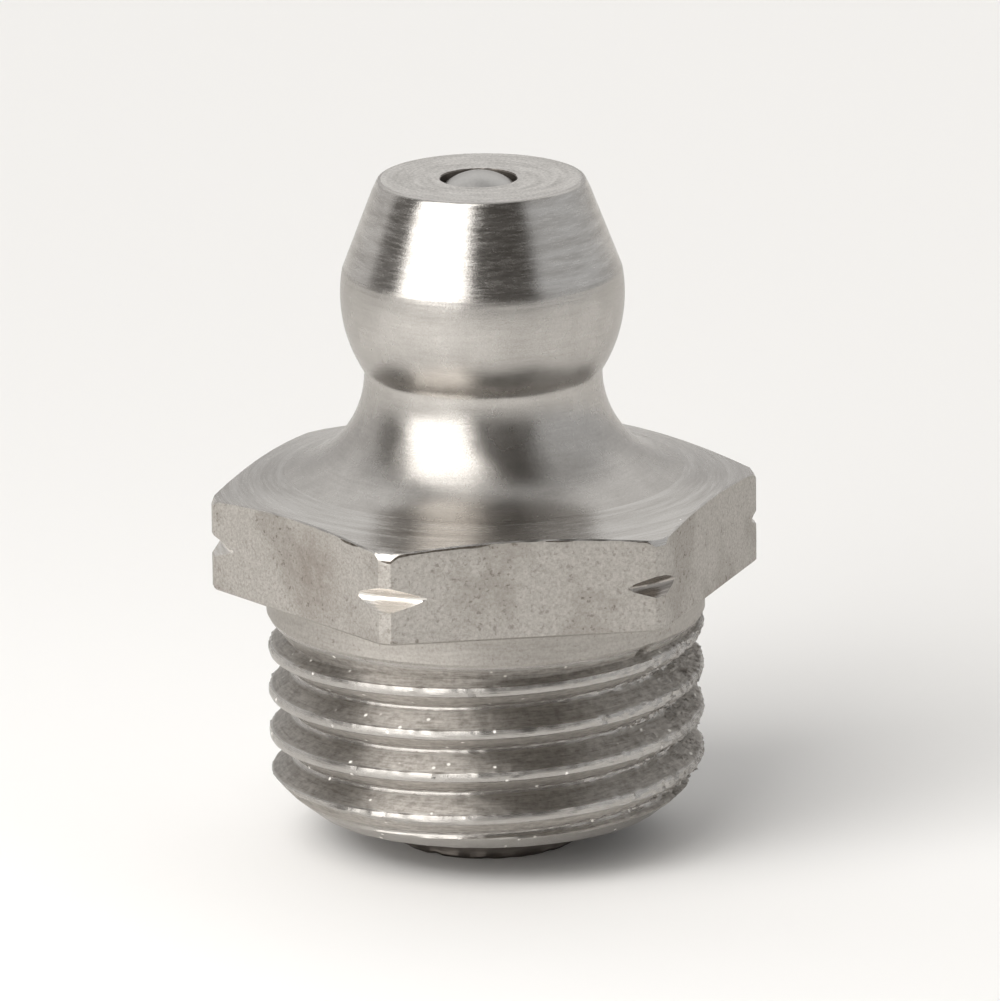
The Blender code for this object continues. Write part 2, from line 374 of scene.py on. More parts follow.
def thread_radius(angle, height):
    """Radius of the threaded surface, with the beads along its crest and its end chamfer."""
    above = groove_distance(angle, height)
    torn = torn_share(angle)
    wall = thread_wall(angle, height, above, torn)
    crest = thread_crest(angle, height, torn)
    edge = np.where(above > 0.0, THREAD_LOWER_EDGE, THREAD_UPPER_EDGE)
    radius = 0.5 * (wall + crest - np.hypot(wall - crest, edge))
    from_crest_edge = above + THREAD_PITCH / 2 - THREAD_CREST_HALF
    beads = np.clip(waver(angle, height, seed=13, turns=130, pitch=0.8), 0.0, 1.5)
    radius = radius + BEAD_HEIGHT * np.exp(-(from_crest_edge / BEAD_WIDTH) ** 2) * beads
    radius = radius - TEAR_DEPTH * tear(angle, height)
    along = np.clip((height - THREAD_END_Z) / (THREAD_CHAMFER_Z - THREAD_END_Z), 0.0, 1.3)
    chamfer = THREAD_END_RADIUS + (THREAD_RADIUS - THREAD_END_RADIUS) * along
    bulge = np.sin(math.pi * np.clip(along, 0.0, 1.0))
    ripple = waver(angle, height, seed=15, turns=40, pitch=0.4)
    chamfer = chamfer + THREAD_CHAMFER_BULGE * bulge + THREAD_CHAMFER_RIPPLE * ripple
    return np.minimum(radius, chamfer)


# ---------------------------------------------------------------- the body's skin

class Skin:
    """Columns of points from the inlet over the outside to the bore, joined into one surface."""

    def __init__(self, angles):
        self.angles = angles
        self.points = []
        self.chains = [[] for _ in angles]
        self.order = 0

    def add_ring(self, band, radius, height, shift=0.0):
        """One row of points all the way round. shift moves it sideways, to the camera's left.

        band is the slot of the faces above the row, one for all or one for each column.
        """
        count = len(self.angles)
        bands = np.broadcast_to(band, (count,)).tolist()
        radius = np.broadcast_to(np.asarray(radius, float), (count,))
        height = np.broadcast_to(np.asarray(height, float), (count,))
        first = len(self.points)
        side = Vector((math.cos(VIEW_AZIMUTH), math.sin(VIEW_AZIMUTH)))
        x = radius * np.cos(self.angles) - shift * side.x
        y = radius * np.sin(self.angles) - shift * side.y
        self.points += list(zip(x, y, height))
        self.order -= ROW_STEP
        for column in range(count):
            self.chains[column].append((self.order, first + column, bands[column]))

    def add_thread(self, band, offsets, low, high):
        """Rows that climb with the thread between two heights.

        offsets are the rows of one turn, as fractions of the pitch from the groove's middle.
        """
        self.order -= THREAD_STEP
        self.rows_per_turn = len(offsets)
        turns = math.ceil((high - low) / THREAD_PITCH) + 2
        base = THREAD_LEVEL_Z - THREAD_PITCH * (THREAD_LEVEL_ANGLE / (2 * math.pi) + turns)
        for row in reversed(range((turns + 2) * self.rows_per_turn)):
            turn, place = divmod(row, self.rows_per_turn)
            start = base + THREAD_PITCH * (turn + offsets[place])
            height = start + THREAD_PITCH * self.angles / (2 * math.pi)
            radius = thread_radius(self.angles, height)
            for column in np.flatnonzero((height > low) & (height < high)):
                angle = self.angles[column]
                point = (radius[column] * math.cos(angle), radius[column] * math.sin(angle))
                self.chains[column].append((self.order + row, len(self.points), band))
                self.points.append((*point, height[column]))
        self.thread_order = (self.order, self.order + THREAD_STEP)
        self.order -= ROW_STEP

    def past_seam(self, chain):
        """The first column as the neighbour of the last one, one turn further up the thread."""
        low, high = self.thread_order
        shift = self.rows_per_turn
        return [(key - shift if low <= key < high else key, point, band)
                for key, point, band in chain]

    def faces(self):
        """Quads between equal rows, and triangles where a climbing row begins or ends."""
        made, bands = [], []
        neighbours = self.chains[1:] + [self.past_seam(self.chains[0])]
        for left, right in zip(self.chains, neighbours):
            a = b = 0
            while a + 1 < len(left) or b + 1 < len(right):
                key_a = left[a + 1][0] if a + 1 < len(left) else -math.inf
                key_b = right[b + 1][0] if b + 1 < len(right) else -math.inf
                if key_a == key_b:
                    made.append((left[a][1], left[a + 1][1], right[b + 1][1], right[b][1]))
                    bands.append(left[a + 1][2])
                    a, b = a + 1, b + 1
                elif key_a > key_b:
                    made.append((left[a][1], left[a + 1][1], right[b][1]))
                    bands.append(left[a + 1][2])
                    a += 1
                else:
                    made.append((left[a][1], right[b + 1][1], right[b][1]))
                    bands.append(right[b + 1][2])
                    b += 1
            made.append((left[-1][1], left[0][1], right[0][1], right[-1][1]))
            bands.append(BORE)
        return made, bands


def seat_heights():
    """Top edge of the ball seat's cone, and where it meets the spring chamber."""
    top = BALL_CENTRE_Z + math.sqrt(BALL_RADIUS ** 2 - INLET_RADIUS ** 2) + FIT_GAP
    return top, top - (CHAMBER_RADIUS - INLET_RADIUS) / math.tan(SEAT_HALF_ANGLE)


def add_tip(skin):
    """Inlet hole with its chipped edge, and the faced ring round it."""
    # The inlet's wall takes the bore's dark colour, painted shade inside the hole
    for height in np.linspace(seat_heights()[0], TIP_Z - 0.03, 4):
        skin.add_ring(BORE, INLET_RADIUS, height, INLET_OFFSET)
    back = np.cos(skin.angles - VIEW_AZIMUTH - math.pi / 2)
    share = INLET_CHIPS_IN_FRONT + (1.0 - INLET_CHIPS_IN_FRONT) * np.clip(back, 0.0, 1.0)
    chips = np.abs(waver(skin.angles, TIP_Z, seed=27, turns=26, pitch=0.2))
    chipped = INLET_CHIPS * share * chips
    radius = INLET_RADIUS + 0.6 * INLET_EDGE + 0.5 * chipped
    skin.add_ring(BORE, radius, TIP_Z - INLET_EDGE, INLET_OFFSET)
    # Towards the back the edge ring takes the bore's dark colour: painted shade along the back of
    # the hole
    band = np.where(back > INLET_SHADE_FROM, BORE, FACED)
    radius = INLET_RADIUS + INLET_EDGE + chipped
    skin.add_ring(band, radius, TIP_Z - 0.2 * INLET_EDGE, INLET_OFFSET)
    inner, outer = INLET_RADIUS + FACED_INNER_EDGE, TIP_EDGE_RADIUS - TIP_EDGE
    for radius in np.linspace(inner, outer, 9):
        outward = (radius - INLET_RADIUS) / (TIP_EDGE_RADIUS - INLET_RADIUS)
        skin.add_ring(FACED, radius, TIP_Z, INLET_OFFSET * (1.0 - outward))


def add_head(skin):
    """Rounded edge, coupling cone, ball of the head with its first ripples, neck fillet."""
    tilt = math.atan((HEAD_RADIUS - CONE_TOP_RADIUS) / (CONE_TOP_Z - CONE_BOTTOM_Z))
    for part in np.linspace(0.2, 1.0, 5):
        angle = math.pi / 2 - part * (math.pi / 2 - tilt)
        skin.add_ring(TURNED, TIP_EDGE_RADIUS - TIP_EDGE + TIP_EDGE * math.cos(angle),
                      TIP_Z - TIP_EDGE + TIP_EDGE * math.sin(angle))
    cone_bottom = math.sqrt(HEAD_RADIUS ** 2 - (CONE_BOTTOM_Z - HEAD_CENTRE_Z) ** 2)
    for part in np.linspace(0.12, 0.965, 9):
        skin.add_ring(TURNED, CONE_TOP_RADIUS + part * (cone_bottom - CONE_TOP_RADIUS),
                      CONE_TOP_Z + part * (CONE_BOTTOM_Z - CONE_TOP_Z))
    for height in np.linspace(CONE_BOTTOM_Z, CONE_BOTTOM_Z - CONE_RIPPLE_HEIGHT, 9):
        radius = math.sqrt(HEAD_RADIUS ** 2 - (height - HEAD_CENTRE_Z) ** 2)
        ripple = waver(skin.angles, height, seed=23, turns=12, pitch=0.07)
        skin.add_ring(SATIN, radius + CONE_RIPPLE * ripple, height)
    start = math.asin((CONE_BOTTOM_Z - CONE_RIPPLE_HEIGHT - 0.05 - HEAD_CENTRE_Z) / HEAD_RADIUS)
    end = -math.acos((NECK_RADIUS + 0.02) / HEAD_RADIUS)
    for angle in np.linspace(start, end, 18):
        height = HEAD_CENTRE_Z + HEAD_RADIUS * math.sin(angle)
        skin.add_ring(SATIN, HEAD_RADIUS * math.cos(angle), height)
    for angle in np.linspace(math.pi + 0.01, 1.5 * math.pi - HEX_SLOPE, 20):
        skin.add_ring(SATIN, *fillet_point(angle))


def add_hexagon_top(skin, side):
    """Conical top, bevel, rippled edge and the burr under it. Gives the top of the flats."""
    angle = skin.angles
    start = fillet_end()[0]
    bevel = np.minimum(side - BEVEL_WIDTH, BEVEL_RADIUS)
    rows = [start + part * (bevel - start) for part in np.linspace(0.14, 1.0, 7)]
    rows += [bevel + part * (side - EDGE_BREAK - bevel) for part in (0.35, 0.7, 1.0)]
    for radius in rows:
        skin.add_ring(TURNED, radius, hexagon_top(radius))
    ripple = waver(angle, 0.0, seed=21, turns=60, pitch=1.0)
    edge = hexagon_top(side) - EDGE_DROP - EDGE_RIPPLE * ripple
    burred = np.clip(BURR_ONSET - BURR_FADE * np.cos(angle - BURR_FREE_ANGLE), 0.0, 1.0)
    ragged = np.clip(waver(angle, 0.0, seed=914, turns=40, pitch=1.0), 0.0, 1.2)
    burr = BURR_DEPTH * burred * ragged
    # Where the burr is deep its faces take the burr's dark colour, painted shadow under it
    band = np.where(burr > BURR_LEAST, BURR, FLAT)
    low_edge = edge - burr - 2 * BURR_ROUNDING
    skin.add_ring(TURNED, side, edge)
    skin.add_ring(band, side - BURR_LEAN * burr, edge - BURR_LEAN * burr - BURR_ROUNDING)
    skin.add_ring(band, side, low_edge)
    return low_edge


def add_hexagon(skin):
    """Top of the hexagon, its flats with the notched corners, and the underside."""
    side = hexagon_radius(skin.angles)
    low_edge = add_hexagon_top(skin, side)
    bottom = notch_bottom(skin.angles)
    depth = np.maximum(side - bottom, NOTCH_LEAST_DEPTH)
    half = np.sqrt((depth / NOTCH_SLOPE + NOTCH_ROUNDING) ** 2 - NOTCH_ROUNDING ** 2)
    for part in (0.15, 0.4, 0.65, 0.9):
        skin.add_ring(FLAT, side, low_edge + part * (NOTCH_Z + half - low_edge))
    cut = side > bottom + NOTCH_LEAST_DEPTH / 2
    for part in (1.0, 0.75, 0.5, 0.3, 0.15, 0.0, -0.15, -0.3, -0.5, -0.75, -1.0):
        opened = (np.hypot(part * half, NOTCH_ROUNDING) - NOTCH_ROUNDING) * NOTCH_SLOPE
        band = np.where(cut, NOTCH, FLAT) if part < 1.0 else FLAT
        skin.add_ring(band, side - np.where(cut, depth - opened, 0.0), NOTCH_Z + part * half)
    high, low = NOTCH_Z - half, SEAT_Z + HEX_LOWER_EDGE
    for part in (0.06, 0.2, 0.4, 0.6, 0.8, 1.0):
        skin.add_ring(FLAT, side, high + part * (low - high))
    outer, inner = side - HEX_LOWER_EDGE, COLLAR_RADIUS + COLLAR_FILLET + 0.01
    for part in (0.0, 0.25, 0.5, 0.75):
        skin.add_ring(COLLAR, outer + part * (inner - outer), SEAT_Z)
    skin.add_ring(COLLAR, COLLAR_RADIUS + COLLAR_FILLET, SEAT_Z)


def add_shank(skin):
    """Collar, thread, end chamfer, end face."""
    angle = skin.angles
    for height in (SEAT_Z - COLLAR_FILLET, 6.0, 5.85, 5.7, 5.55, 5.45):
        ripple = waver(angle, height, seed=31, turns=30, pitch=0.5) - 1.0
        dent = TEAR_SHARE_IN_COLLAR * TEAR_DEPTH * tear(angle, height)
        skin.add_ring(COLLAR, COLLAR_RADIUS + COLLAR_ROUGHNESS * ripple - dent, height)
    dent = TEAR_DEPTH * tear(angle, THREAD_TOP_Z)
    skin.add_ring(COLLAR, THREAD_RADIUS + 0.005 - dent, THREAD_TOP_Z)
    # Distances from the groove's middle to each row, up to the crest and down to the next groove
    edge = THREAD_PITCH / 2 - THREAD_CREST_HALF
    root_to_crest = [0.0, 0.04, 0.08, 0.13, 0.19, 0.26, 0.33, edge - 0.04, edge, 0.465]
    crest_to_root = [0.5, 0.475, edge, edge - 0.025, edge - 0.055,
                     0.34, 0.29, 0.23, 0.17, 0.12, 0.08, 0.04]
    offsets = root_to_crest + [1.0 - distance for distance in crest_to_root]
    skin.add_thread(THREAD, offsets, THREAD_END_Z + 0.02, THREAD_TOP_Z - 0.015)
    skin.add_ring(THREAD, thread_radius(angle, THREAD_END_Z), THREAD_END_Z)
    outer, inner = THREAD_END_RADIUS - THREAD_END_EDGE, SPIGOT_RADIUS + SPIGOT_FILLET
    # The end face takes the bore's dark colour, painted shade under the thread's end
    for part in (0.1, 0.35, 0.65, 0.9):
        skin.add_ring(BORE, outer + part * (inner - outer), THREAD_END_Z - 0.04 - 0.02 * part)


def add_spigot(skin):
    """Spigot with its uneven rolled-in lip."""
    angle = skin.angles
    # The spigot and its lip take the bore's dark colour, painted shade under the thread's overhang
    for height in (0.78, 0.6, 0.45, 0.3, 0.18):
        ripple = waver(angle, height, seed=41, turns=24, pitch=0.6) - 1.2
        skin.add_ring(BORE, SPIGOT_RADIUS + SPIGOT_RIPPLE * ripple, height)
    ragged = LIP_WAVES * np.clip(waver(angle, 0.0, seed=42, turns=24, pitch=1.0) - 0.2, 0.0, 2.0)
    for bend in np.linspace(0.1, 1.0, 5) * math.pi / 2:
        skin.add_ring(BORE, SPIGOT_RADIUS - LIP_EDGE * (1.0 - math.cos(bend)),
                      LIP_EDGE * (1.0 - math.sin(bend)) + ragged)
    skin.add_ring(BORE, LIP_FACE_RADIUS, 0.6 * ragged)
    skin.add_ring(BORE, LIP_HOLE_RADIUS + LIP_HOLE_BEVEL, 0.0)
    skin.add_ring(BORE, LIP_HOLE_RADIUS + 0.02, 0.17)
    skin.add_ring(BORE, LIP_HOLE_RADIUS, 0.22)
    skin.add_ring(BORE, LIP_HOLE_RADIUS, LIP_THICKNESS)


def add_bore(skin):
    """Spring chamber and ball seat."""
    top, shoulder = seat_heights()
    skin.add_ring(BORE, CHAMBER_RADIUS, LIP_THICKNESS + 0.01)
    for height in np.linspace(CHAMBER_Z, shoulder - 0.02, 5):
        skin.add_ring(BORE, CHAMBER_RADIUS, height)
    skin.add_ring(BORE, CHAMBER_RADIUS - 0.02, shoulder)
    skin.add_ring(BORE, INLET_RADIUS + 0.02, top - 0.012, INLET_OFFSET)


def place_in_scene(name, data):
    """A new object of that mesh, lamp or camera, in the scene."""
    made = bpy.data.objects.new(name, data)
    bpy.context.scene.collection.objects.link(made)
    return made


def mesh_object(name, points, faces, bands, materials):
    """A mesh object from points in millimetres, smooth with its true edges kept sharp."""
    mesh = bpy.data.meshes.new(name)
    mesh.from_pydata([(x * MM, y * MM, z * MM) for x, y, z in points], [], faces)
    mesh.polygons.foreach_set("material_index", bands)
    for material in materials:
        mesh.materials.append(material)
    mesh.shade_smooth()
    mesh.set_sharp_from_angle(angle=SHARP_ANGLE)
    mesh.update()
    return place_in_scene(name, mesh)


def make_body():
    skin = Skin(columns())
    for add in (add_tip, add_head, add_hexagon, add_shank, add_spigot, add_bore):
        add(skin)
    faces, bands = skin.faces()
    materials = [turned_steel(), satin_steel(), faced_steel(), drawn_steel(), burr_shadow_steel(),
                 notch_steel(), collar_steel(), thread_steel(), bore_shade_steel()]
    return mesh_object("body_skin", skin.points, faces, bands, materials)


# ---------------------------------------------------------------- ball and spring

def make_ball():
    """Ball from a subdivided cube pushed out to the sphere."""
    bm = bmesh.new()
    bmesh.ops.create_cube(bm, size=2.0)
    bmesh.ops.subdivide_edges(bm, edges=bm.edges, cuts=BALL_CUTS, use_grid_fill=True)
    side = Vector((math.cos(VIEW_AZIMUTH), math.sin(VIEW_AZIMUTH), 0.0))
    centre = Vector((0.0, 0.0, BALL_CENTRE_Z)) - side * BALL_OFFSET
    for vertex in bm.verts:
        vertex.co = (centre + vertex.co.normalized() * BALL_RADIUS) * MM
    mesh = bpy.data.meshes.new("ball_skin")
    bm.to_mesh(mesh)
    bm.free()
    mesh.shade_smooth()
    mesh.materials.append(ball_steel())
    return place_in_scene("ball_skin", mesh)


def spring_path():
    """Centre line of the wire as (coil radius, angle, height), from the lip up to the ball."""
    bottom = LIP_THICKNESS + WIRE_RADIUS + FIT_GAP
    reach = BALL_RADIUS + WIRE_RADIUS + FIT_GAP
    top = BALL_CENTRE_Z - math.sqrt(reach ** 2 - SPRING_TOP_RADIUS ** 2)
    closed_pitch = 2 * WIRE_RADIUS + FIT_GAP
    turns = SPRING_ACTIVE_TURNS + 2 * SPRING_CLOSED_TURNS
    open_pitch = (top - bottom - 2 * closed_pitch * SPRING_CLOSED_TURNS) / SPRING_ACTIVE_TURNS
    taper = (SPRING_TOP_RADIUS - SPRING_BOTTOM_RADIUS) / SPRING_ACTIVE_TURNS
    path = []
    for turn in np.linspace(0.0, turns, round(turns * SPRING_STEPS_PER_TURN) + 1):
        opened = min(max(turn - SPRING_CLOSED_TURNS, 0.0), SPRING_ACTIVE_TURNS)
        height = bottom + closed_pitch * (turn - opened) + open_pitch * opened
        path.append((SPRING_BOTTOM_RADIUS + taper * opened, 2 * math.pi * turn, height))
    return path


def make_spring():
    """Drawn wire wound into a tapered coil with square-cut ends."""
    points, faces = [], []
    for coil, angle, height in spring_path():
        for k in range(WIRE_SIDES):
            around = 2 * math.pi * k / WIRE_SIDES
            r = coil + WIRE_RADIUS * math.cos(around)
            z = height + WIRE_RADIUS * math.sin(around)
            points.append((r * math.cos(angle), r * math.sin(angle), z))
    last = len(points) - WIRE_SIDES
    for ring in range(0, last, WIRE_SIDES):
        for k in range(WIRE_SIDES):
            a, b = ring + k, ring + (k + 1) % WIRE_SIDES
            faces.append((a, a + WIRE_SIDES, b + WIRE_SIDES, b))
    faces.append(tuple(range(WIRE_SIDES)))
    faces.append(tuple(reversed(range(last, len(points)))))
    return mesh_object("spring_skin", points, faces, [0] * len(faces), [spring_steel()])


# ---------------------------------------------------------------- materials

class Nodes:
    """Short calls for building a node tree."""

    def __init__(self, tree):
        self.tree = tree

    def add(self, kind, **settings):
        node = self.tree.nodes.new("ShaderNode" + kind)
        for key, value in settings.items():
            setattr(node, key, value)
        return node

    def put(self, socket, value):
        """Links a socket, or sets its number or colour."""
        if isinstance(value, bpy.types.NodeSocket):
            self.tree.links.new(value, socket)
        else:
            socket.default_value = value

    def math(self, operation, a, b=0.0):
        node = self.add("Math", operation=operation)
        self.put(node.inputs[0], a)
        self.put(node.inputs[1], b)
        return node.outputs[0]

    def times(self, a, b):
        return self.math("MULTIPLY", a, b)

    def plus(self, a, b):
        return self.math("ADD", a, b)

    def weigh(self, a, share, b):
        """a and b added in the shares share and 1 - share."""
        return self.plus(self.times(a, share), self.times(b, 1.0 - share))

    def spread(self, value, low, high, to_low=0.0, to_high=1.0, smooth=True):
        """Maps low..high to to_low..to_high, and holds it there outside."""
        kind = "SMOOTHSTEP" if smooth else "LINEAR"
        node = self.add("MapRange", interpolation_type=kind)
        for socket, number in zip(node.inputs, (value, low, high, to_low, to_high)):
            self.put(socket, number)
        return node.outputs[0]

    def mix(self, factor, a, b):
        """Mixes two colours."""
        node = self.add("Mix", data_type="RGBA")
        self.put(node.inputs["Factor"], factor)
        self.put(node.inputs[6], a)
        self.put(node.inputs[7], b)
        return node.outputs[2]

    def split(self, vector):
        """The vector's x, y and z."""
        node = self.add("SeparateXYZ")
        self.put(node.inputs[0], vector)
        return node.outputs

    def noise(self, vector, scale, detail=3.0, roughness=0.6, w=None):
        """Noise from 0 to 1 at a vector, four-dimensional where w is given."""
        node = self.add("TexNoise", noise_dimensions="3D" if w is None else "4D")
        self.put(node.inputs["Vector"], vector)
        self.put(node.inputs["Scale"], scale)
        self.put(node.inputs["Detail"], detail)
        self.put(node.inputs["Roughness"], roughness)
        if w is not None:
            self.put(node.inputs["W"], w)
        return node.outputs["Fac"]


class Steel(Nodes):
    """A metal material that is being built. place is the position on the part in millimetres."""

    def __init__(self, name):
        self.material = bpy.data.materials.new(name)
        self.material.use_nodes = True
        super().__init__(self.material.node_tree)
        self.inputs = self.tree.nodes["Principled BSDF"].inputs
        self.inputs["Metallic"].default_value = 1.0
        self.inputs["Specular Tint"].default_value = EDGE_ON_TINT
        scaled = self.add("VectorMath", operation="SCALE")
        self.put(scaled.inputs[0], self.add("TexCoord").outputs["Object"])
        self.put(scaled.inputs["Scale"], 1.0 / MM)
        self.place = scaled.outputs[0]

    def from_axis(self, x, y):
        """Distance from the part's axis."""
        return self.math("SQRT", self.plus(self.times(x, x), self.times(y, y)))

    def grain(self, scale, detail=3.0, roughness=0.6):
        """Noise of the same size in every direction, from its scale per millimetre."""
        return self.noise(self.place, scale, detail, roughness)

    def lines(self, per_mm, waves, detail=3.0, roughness=0.6):
        """Noise in turning marks: it changes fast across them and slowly round the axis."""
        x, y, z = self.split(self.place)
        radius = self.from_axis(x, y)
        join = self.add("CombineXYZ")
        self.put(join.inputs[0], self.times(radius, per_mm))
        self.put(join.inputs[1], self.times(z, per_mm))
        self.put(join.inputs[2], self.times(self.math("DIVIDE", x, radius), waves))
        w = self.times(self.math("DIVIDE", y, radius), waves)
        return self.noise(join.outputs[0], 1.0, detail, roughness, w)

    def shade(self, marks, low, high, colours):
        """Mixes the darker and the lighter grain by a noise between low and high."""
        return self.mix(self.spread(marks, low, high, smooth=False), *colours)

    def painted_glints(self, colour, scale, size, share):
        """Adds small round white non-metal dots as painted glints, in about that share of the
        cells.
        """
        cells = self.add("TexVoronoi", feature="F1")
        self.put(cells.inputs["Vector"], self.place)
        self.put(cells.inputs["Scale"], scale)
        reach = size * scale
        near = self.spread(cells.outputs["Distance"], 0.4 * reach, reach, 1.0, 0.0)
        split = self.add("SeparateColor")
        self.put(split.inputs[0], cells.outputs["Color"])
        glint = self.times(near, self.math("LESS_THAN", split.outputs[0], share))
        self.put(self.inputs["Metallic"], self.math("SUBTRACT", 1.0, glint))
        return self.mix(glint, colour, PAINTED_GLINT_COLOUR)

    def finish(self, colour, marks, roughness, depth, turned=0.0):
        """The material, with marks of that depth in millimetres.

        turned is how far reflections spread across turning marks, which run round the axis.
        """
        self.put(self.inputs["Base Color"], colour)
        self.put(self.inputs["Roughness"], roughness)
        bump = self.add("Bump")
        self.put(bump.inputs["Strength"], 1.0)
        self.put(bump.inputs["Distance"], depth * MM)
        self.put(bump.inputs["Height"], marks)
        self.put(self.inputs["Normal"], bump.outputs[0])
        if turned:
            tangent = self.add("Tangent", direction_type="RADIAL", axis="Z")
            self.put(self.inputs["Tangent"], tangent.outputs[0])
            self.inputs["Anisotropic"].default_value = turned
            self.inputs["Anisotropic Rotation"].default_value = 0.25
        return self.material


def turned_steel():
    """Coupling cone and hexagon top, finish turned: fine lines, a few white dots as painted glints.
    """
    steel = Steel("turned_steel")
    lines = steel.lines(per_mm=18.0, waves=8.0, detail=4.0, roughness=0.65)
    broad = steel.lines(per_mm=6.0, waves=2.0, roughness=0.5)
    marks = steel.weigh(lines, 0.65, steel.grain(scale=24.0, roughness=0.7))
    colour = steel.shade(steel.plus(marks, broad), 0.8, 1.2, TURNED_GRAIN)
    # White dots as painted glints
    colour = steel.painted_glints(colour, scale=1.9, size=0.030, share=0.30)
    roughness = steel.spread(lines, 0.35, 0.65, 0.16, 0.30, smooth=False)
    return steel.finish(colour, marks, roughness, depth=0.006, turned=0.6)


def satin_steel():
    """Ball of the head and neck, polished with fine abrasive to an even satin."""
    steel = Steel("satin_steel")
    cloud = steel.grain(scale=1.3)
    grain = steel.grain(scale=32.0, roughness=0.8)
    marks = steel.weigh(steel.lines(per_mm=12.0, waves=3.0), 0.25, grain)
    clouded = steel.plus(marks, steel.times(cloud, 0.4))
    colour = steel.shade(clouded, 0.52, 0.88, SATIN_GRAIN)
    # White dots as painted glints
    colour = steel.painted_glints(colour, scale=1.4, size=0.028, share=0.22)
    roughness = steel.spread(cloud, 0.3, 0.7, 0.24, 0.29, smooth=False)
    return steel.finish(colour, marks, roughness, depth=0.003, turned=0.25)


def faced_steel():
    """Faced ring at the tip, mottled with faint facing marks."""
    steel = Steel("faced_steel")
    grain = steel.grain(scale=14.0, detail=4.0, roughness=0.75)
    marks = steel.weigh(steel.lines(per_mm=6.0, waves=1.5), 0.4, grain)
    colour = steel.shade(marks, 0.38, 0.62, FACED_GRAIN)
    return steel.finish(colour, marks, roughness=0.5, depth=0.006)


def drawn_steel():
    """Flats of the drawn hexagon bar: matt, speckled, with small brown pits and one smudge."""
    steel = Steel("drawn_steel")
    grain = steel.grain(scale=15.0, detail=4.0, roughness=0.8)
    pits = steel.spread(steel.grain(scale=8.5, roughness=0.65), 0.58, 0.68)
    stain = steel.spread(steel.grain(scale=0.55), 0.46, 0.62)
    colour = steel.shade(grain, 0.36, 0.64, DRAWN_GRAIN)
    colour = steel.mix(steel.times(stain, 0.40), colour, STAIN_COLOUR)
    away = steel.add("VectorMath", operation="DISTANCE")
    steel.put(away.inputs[0], steel.place)
    away.inputs[1].default_value = SMUDGE_POINT
    near = steel.spread(away.outputs["Value"], SMUDGE_CORE, SMUDGE_RADIUS, 1.0, 0.0)
    patchy = steel.grain(scale=2.5, detail=4.0, roughness=0.7)
    patchy = steel.spread(patchy, 0.35, 0.6, 0.25, 0.65, smooth=False)
    colour = steel.mix(steel.times(near, patchy), colour, SMUDGE_COLOUR)
    pitted = steel.spread(stain, 0.0, 1.0, 0.35, 0.8, smooth=False)
    colour = steel.mix(steel.times(pits, pitted), colour, FLAT_PIT_COLOUR)
    roughness = steel.spread(grain, 0.3, 0.7, 0.58, 0.48, smooth=False)
    marks = steel.math("SUBTRACT", steel.times(grain, 0.6), pits)
    return steel.finish(colour, marks, roughness, depth=0.0035)


def burr_shadow_steel():
    """Torn edge along the top of the flats, coloured dark as painted shadow under the burr."""
    steel = Steel("burr_shadow_steel")
    grain = steel.grain(scale=12.0, roughness=0.7)
    colour = steel.shade(grain, 0.35, 0.65, BURR_SHADOW_GRAIN)
    return steel.finish(colour, grain, roughness=0.6, depth=0.008)


def notch_steel():
    """Cut of the corner notches, streaked along the cut and darker towards +X."""
    steel = Steel("notch_steel")
    lines = steel.lines(per_mm=16.0, waves=6.0)
    clean = steel.shade(lines, 0.3, 0.7, NOTCH_GRAIN)
    darker_colour = steel.shade(lines, 0.3, 0.7, NOTCH_DARKER_GRAIN)
    # Darker grain towards +X
    towards_plus_x = steel.spread(steel.split(steel.place)[0], 0.0, 2.5)
    colour = steel.mix(towards_plus_x, clean, darker_colour)
    return steel.finish(colour, lines, roughness=0.2, depth=0.005, turned=0.4)


def collar_steel():
    """Collar and underside of the hexagon: rough turned, matt, a little speckled."""
    steel = Steel("collar_steel")
    grain = steel.grain(scale=15.0, detail=4.0, roughness=0.75)
    marks = steel.weigh(steel.lines(per_mm=11.0, waves=5.0), 0.35, grain)
    pits = steel.spread(steel.grain(scale=7.0, roughness=0.7), 0.62, 0.72)
    colour = steel.shade(marks, 0.38, 0.62, COLLAR_GRAIN)
    colour = steel.mix(steel.times(pits, 0.5), colour, COLLAR_PIT_COLOUR)
    return steel.finish(colour, marks, roughness=0.45, depth=0.006, turned=0.4)


